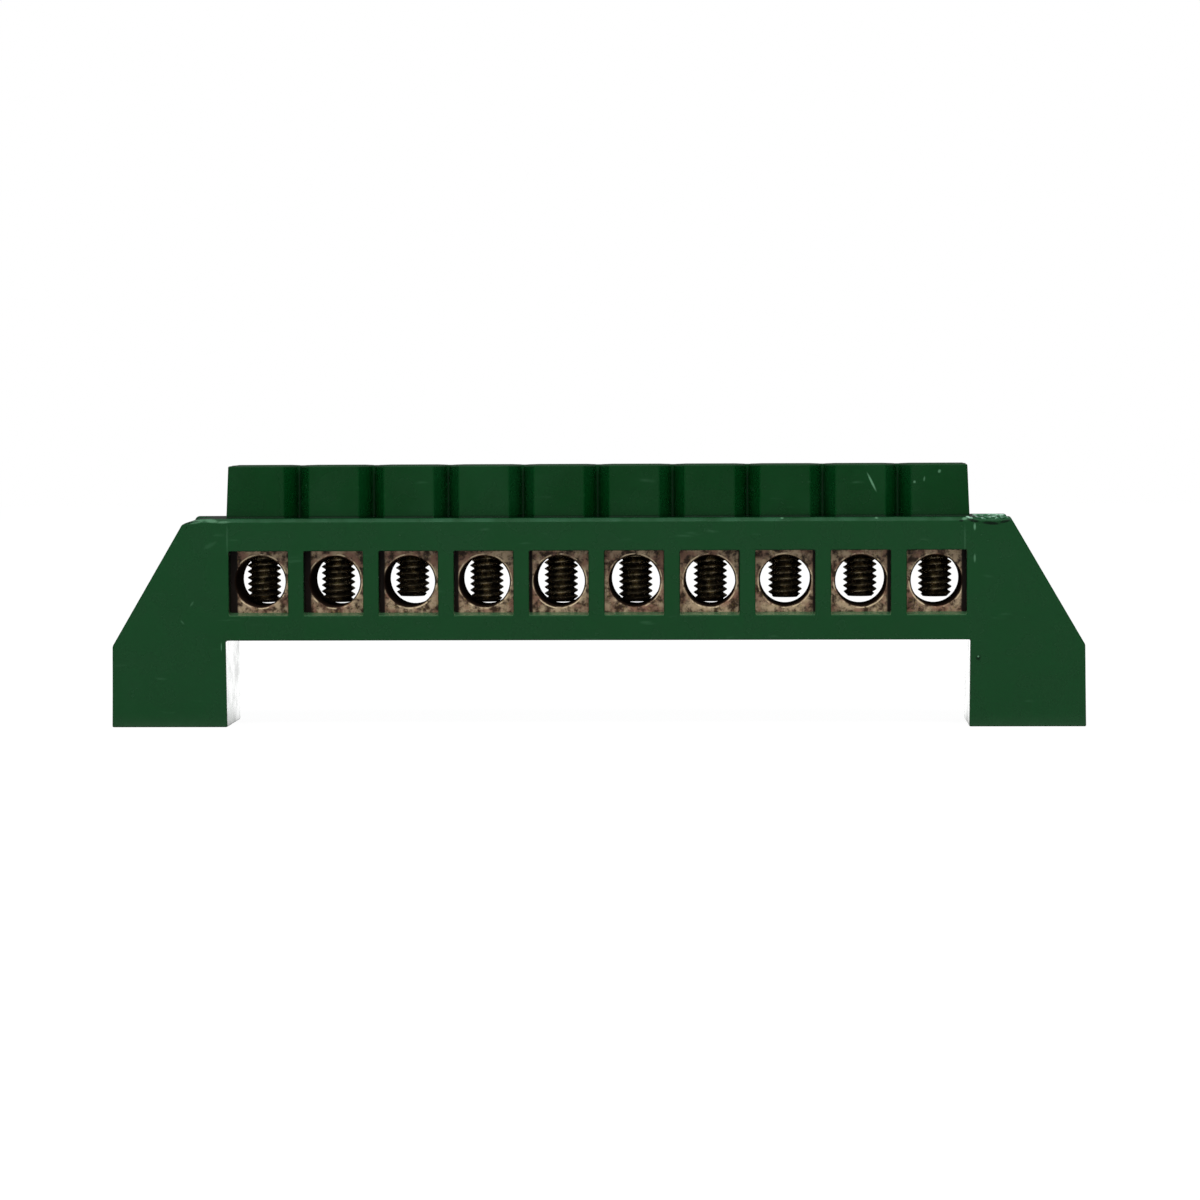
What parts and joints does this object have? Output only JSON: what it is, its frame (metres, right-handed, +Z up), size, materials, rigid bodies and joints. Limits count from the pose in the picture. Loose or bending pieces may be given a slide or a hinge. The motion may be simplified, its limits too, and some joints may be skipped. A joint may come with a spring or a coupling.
{
  "type": "earth terminal bar",
  "caption": "Insulated bridge-type earth terminal bar: brass busbar with cross holes and clamp screws in a green moulded housing on two screw-down feet.",
  "frame": {"origin": "centre of the footprint of both feet, on the mounting surface", "axes": "+X along the bar to the right seen from the front, +Y from front to back, +Z up along the clamp screws"},
  "size_m": [0.11, 0.012, 0.0295],
  "materials": {
    "green_plastic": "glossy dark green moulded plastic",
    "bar_brass": "drawn brass, dulled and tarnished",
    "screw_steel": "dark passivated steel"
  },
  "bodies": {
    "bar": {"housing": "green_plastic", "busbar": "bar_brass"},
    "screw_01": {"clamp_screw_01": "screw_steel"},
    "screw_02": {"clamp_screw_02": "screw_steel"},
    "screw_03": {"clamp_screw_03": "screw_steel"},
    "screw_04": {"clamp_screw_04": "screw_steel"},
    "screw_05": {"clamp_screw_05": "screw_steel"},
    "screw_06": {"clamp_screw_06": "screw_steel"},
    "screw_07": {"clamp_screw_07": "screw_steel"},
    "screw_08": {"clamp_screw_08": "screw_steel"},
    "screw_09": {"clamp_screw_09": "screw_steel"},
    "screw_10": {"clamp_screw_10": "screw_steel"}
  },
  "joints": [
    {"name": "clamp_01", "type": "slide", "parent": "bar", "child": "screw_01", "axis": [0, 0, 1], "range_m": [0, 0.0053]},
    {"name": "clamp_02", "type": "slide", "parent": "bar", "child": "screw_02", "axis": [0, 0, 1], "range_m": [0, 0.0053]},
    {"name": "clamp_03", "type": "slide", "parent": "bar", "child": "screw_03", "axis": [0, 0, 1], "range_m": [-0.00065, 0.00465]},
    {"name": "clamp_04", "type": "slide", "parent": "bar", "child": "screw_04", "axis": [0, 0, 1], "range_m": [0, 0.0053]},
    {"name": "clamp_05", "type": "slide", "parent": "bar", "child": "screw_05", "axis": [0, 0, 1], "range_m": [0, 0.0053]},
    {"name": "clamp_06", "type": "slide", "parent": "bar", "child": "screw_06", "axis": [0, 0, 1], "range_m": [0, 0.0053]},
    {"name": "clamp_07", "type": "slide", "parent": "bar", "child": "screw_07", "axis": [0, 0, 1], "range_m": [0, 0.0053]},
    {"name": "clamp_08", "type": "slide", "parent": "bar", "child": "screw_08", "axis": [0, 0, 1], "range_m": [-0.00045, 0.00485]},
    {"name": "clamp_09", "type": "slide", "parent": "bar", "child": "screw_09", "axis": [0, 0, 1], "range_m": [-0.00055, 0.00475]},
    {"name": "clamp_10", "type": "slide", "parent": "bar", "child": "screw_10", "axis": [0, 0, 1], "range_m": [-0.0005, 0.0048]}
  ]
}
